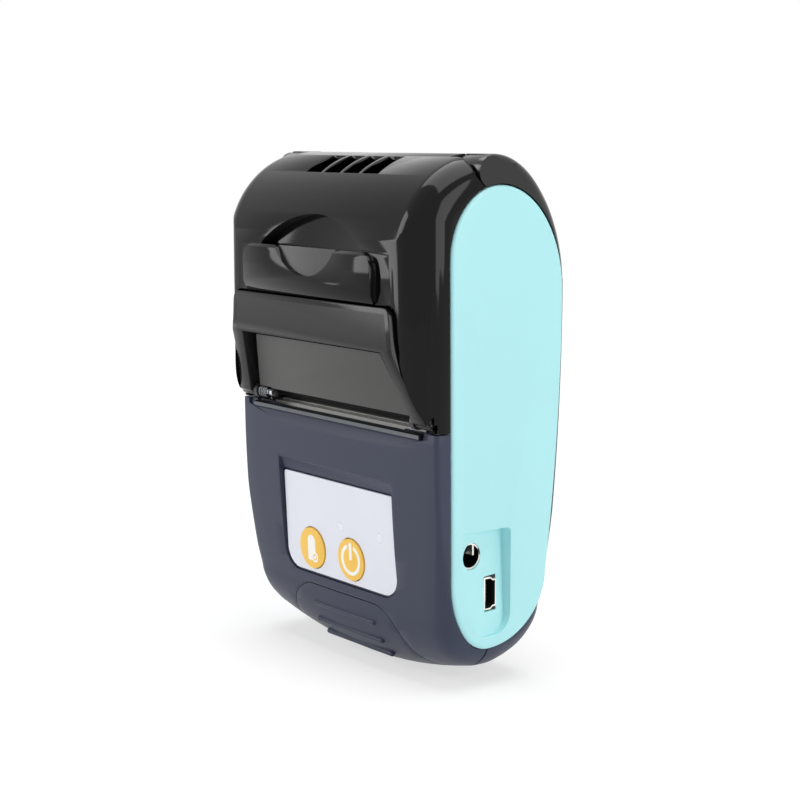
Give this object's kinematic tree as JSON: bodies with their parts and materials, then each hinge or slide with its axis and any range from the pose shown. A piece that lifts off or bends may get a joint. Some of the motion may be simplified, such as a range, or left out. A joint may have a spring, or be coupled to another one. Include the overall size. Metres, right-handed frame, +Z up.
{
  "type": "portable thermal printer",
  "caption": "Hand-held thermal receipt printer, standing: a glossy lid with a release lever opens over the paper roll; side panels, a label with keys, charging and data sockets.",
  "frame": {"origin": "middle of the outer box, on the surface that the printer stands on", "axes": "+Z up along the height; -Y is the front with the label, keys and paper slot; +X is the side panel with the two sockets"},
  "size_m": [0.0746, 0.0458, 0.115],
  "materials": {
    "teal_side": "satin, fine grain",
    "navy_shell": "satin, fine grain",
    "gloss_black": "polished",
    "rear_black": "semi gloss",
    "lever_grey": "satin",
    "slot_panel_grey": "fine grain",
    "label_film": "printed film, satin",
    "key_orange": "satin",
    "lamp_clear": "diffusing",
    "tear_steel": "brushed, toothed edge",
    "pin_steel": "polished",
    "screw_steel": "blackened",
    "frame_steel": "plated sheet",
    "motor_steel": "plated can",
    "heat_sink_aluminium": "extruded",
    "head_ceramic": "glazed",
    "platen_rubber": "ground",
    "gear_nylon": "moulded",
    "bin_plastic": "moulded",
    "paper": "smooth thermal paper",
    "core_card": "wound card",
    "board_green": "solder mask",
    "switch_black": "moulded",
    "jack_black": "moulded",
    "usb_steel": "plated",
    "battery_wrap": "shrink wrap",
    "tray_plastic": "moulded"
  },
  "bodies": {
    "base": {"front_shell": "navy_shell", "rear_shell": "navy_shell", "rear_top_shell": "rear_black", "side_panel_right": "teal_side", "side_panel_left": "teal_side", "label_overlay": "label_film", "lamp_window_left": "lamp_clear", "lamp_window_right": "lamp_clear", "tear_bar": "tear_steel", "mechanism_frame": "frame_steel", "print_head": "head_ceramic", "head_heat_sink": "heat_sink_aluminium", "head_spring_left": "screw_steel", "head_spring_right": "screw_steel", "stepper_motor": "motor_steel", "paper_bin": "bin_plastic", "paper_web": "paper", "main_board": "board_green", "feed_switch": "switch_black", "power_switch": "switch_black", "dc_jack": "jack_black", "usb_socket": "usb_steel", "usb_tongue": "switch_black", "battery_tray": "tray_plastic", "battery_pack": "battery_wrap", "hinge_pin": "pin_steel", "back_screw_upper_left": "screw_steel", "back_screw_upper_right": "screw_steel", "back_screw_lower_left": "screw_steel", "back_screw_lower_right": "screw_steel"},
    "lid": {"lid": "gloss_black", "lid_slot_panel": "slot_panel_grey", "lid_inner_frame": "bin_plastic", "lever_pin_left": "pin_steel", "lever_pin_right": "pin_steel", "lever_spring": "screw_steel", "platen_bush_left": "gear_nylon", "platen_bush_right": "gear_nylon"},
    "lever": {"release_lever": "lever_grey"},
    "platen": {"platen_roller": "platen_rubber", "platen_shaft": "pin_steel", "platen_gear": "gear_nylon"},
    "idler": {"idler_gear": "gear_nylon"},
    "rotor": {"motor_pinion": "pin_steel"},
    "roll": {"paper_roll": "paper", "paper_core": "core_card"},
    "feed_key": {"feed_button": "key_orange"},
    "power_key": {"power_button": "key_orange"},
    "cover": {"battery_cover": "navy_shell"}
  },
  "joints": [
    {"name": "lid_hinge", "type": "hinge", "parent": "base", "child": "lid", "pos_m": [0, -0.0005, 0.1113], "axis": [-1, 0, 0], "range_deg": [0, 90]},
    {"name": "lever_pivot", "type": "hinge", "parent": "lid", "child": "lever", "pos_m": [0, -0.0146, 0.0593], "axis": [1, 0, 0], "range_deg": [0, 22], "stiffness_Nm_per_rad": 0.05, "springref_deg": -11.46},
    {"name": "platen_spin", "type": "hinge", "parent": "lid", "child": "platen", "pos_m": [0, -0.0075, 0.062], "axis": [1, 0, 0], "continuous": true},
    {"name": "idler_spin", "type": "hinge", "parent": "base", "child": "idler", "pos_m": [0, -0.00108, 0.05116], "axis": [1, 0, 0], "continuous": true},
    {"name": "motor_spin", "type": "hinge", "parent": "base", "child": "rotor", "pos_m": [0, -0.0055, 0.0413], "axis": [1, 0, 0], "continuous": true},
    {"name": "roll_spin", "type": "hinge", "parent": "base", "child": "roll", "pos_m": [0, 0.0014, 0.0906], "axis": [1, 0, 0], "continuous": true},
    {"name": "feed_press", "type": "slide", "parent": "base", "child": "feed_key", "axis": [0, 0.9986, 0.0526], "range_m": [0, 0.0005], "stiffness_N_per_m": 900, "springref_m": -0.0003},
    {"name": "power_press", "type": "slide", "parent": "base", "child": "power_key", "axis": [0, 0.9986, 0.0526], "range_m": [0, 0.0005], "stiffness_N_per_m": 900, "springref_m": -0.0003},
    {"name": "battery_cover_slide", "type": "slide", "parent": "base", "child": "cover", "axis": [0, 0, -1], "range_m": [0, 0.07]}
  ],
  "couplings": [
    {"joint": "idler_spin", "follows": "platen_spin", "ratio": -0.61538},
    {"joint": "motor_spin", "follows": "platen_spin", "ratio": 1.6}
  ]
}
